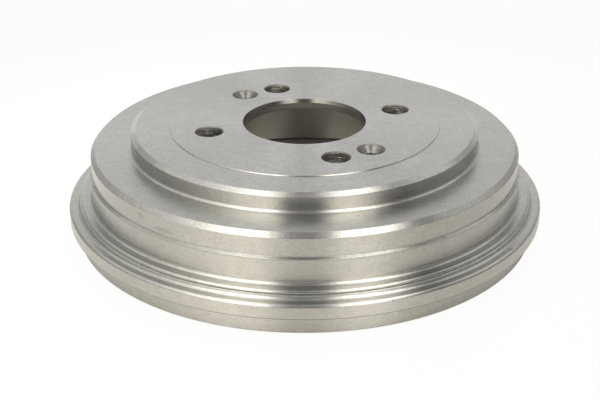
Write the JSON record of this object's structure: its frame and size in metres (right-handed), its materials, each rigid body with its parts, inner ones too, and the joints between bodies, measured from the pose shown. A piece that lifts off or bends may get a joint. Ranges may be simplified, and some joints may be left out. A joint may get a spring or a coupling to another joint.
{
  "type": "brake drum",
  "caption": "Turned cast-iron brake drum for a small car: stepped hub with centre bore, stud holes and countersunk screw holes, and a stepped flange round the open rim.",
  "frame": {"origin": "centre of the open rim's plane, on the wheel axis", "axes": "+Z along the wheel axis from the open rim to the wheel seat, +X through a wheel stud hole"},
  "size_m": [0.2442, 0.2442, 0.0535],
  "materials": {
    "turned_iron": "bare grey iron, fine turned outside and on the braking surface, as cast on the roof inside"
  },
  "bodies": {
    "root": {"brake_drum": "turned_iron"}
  },
  "joints": []
}
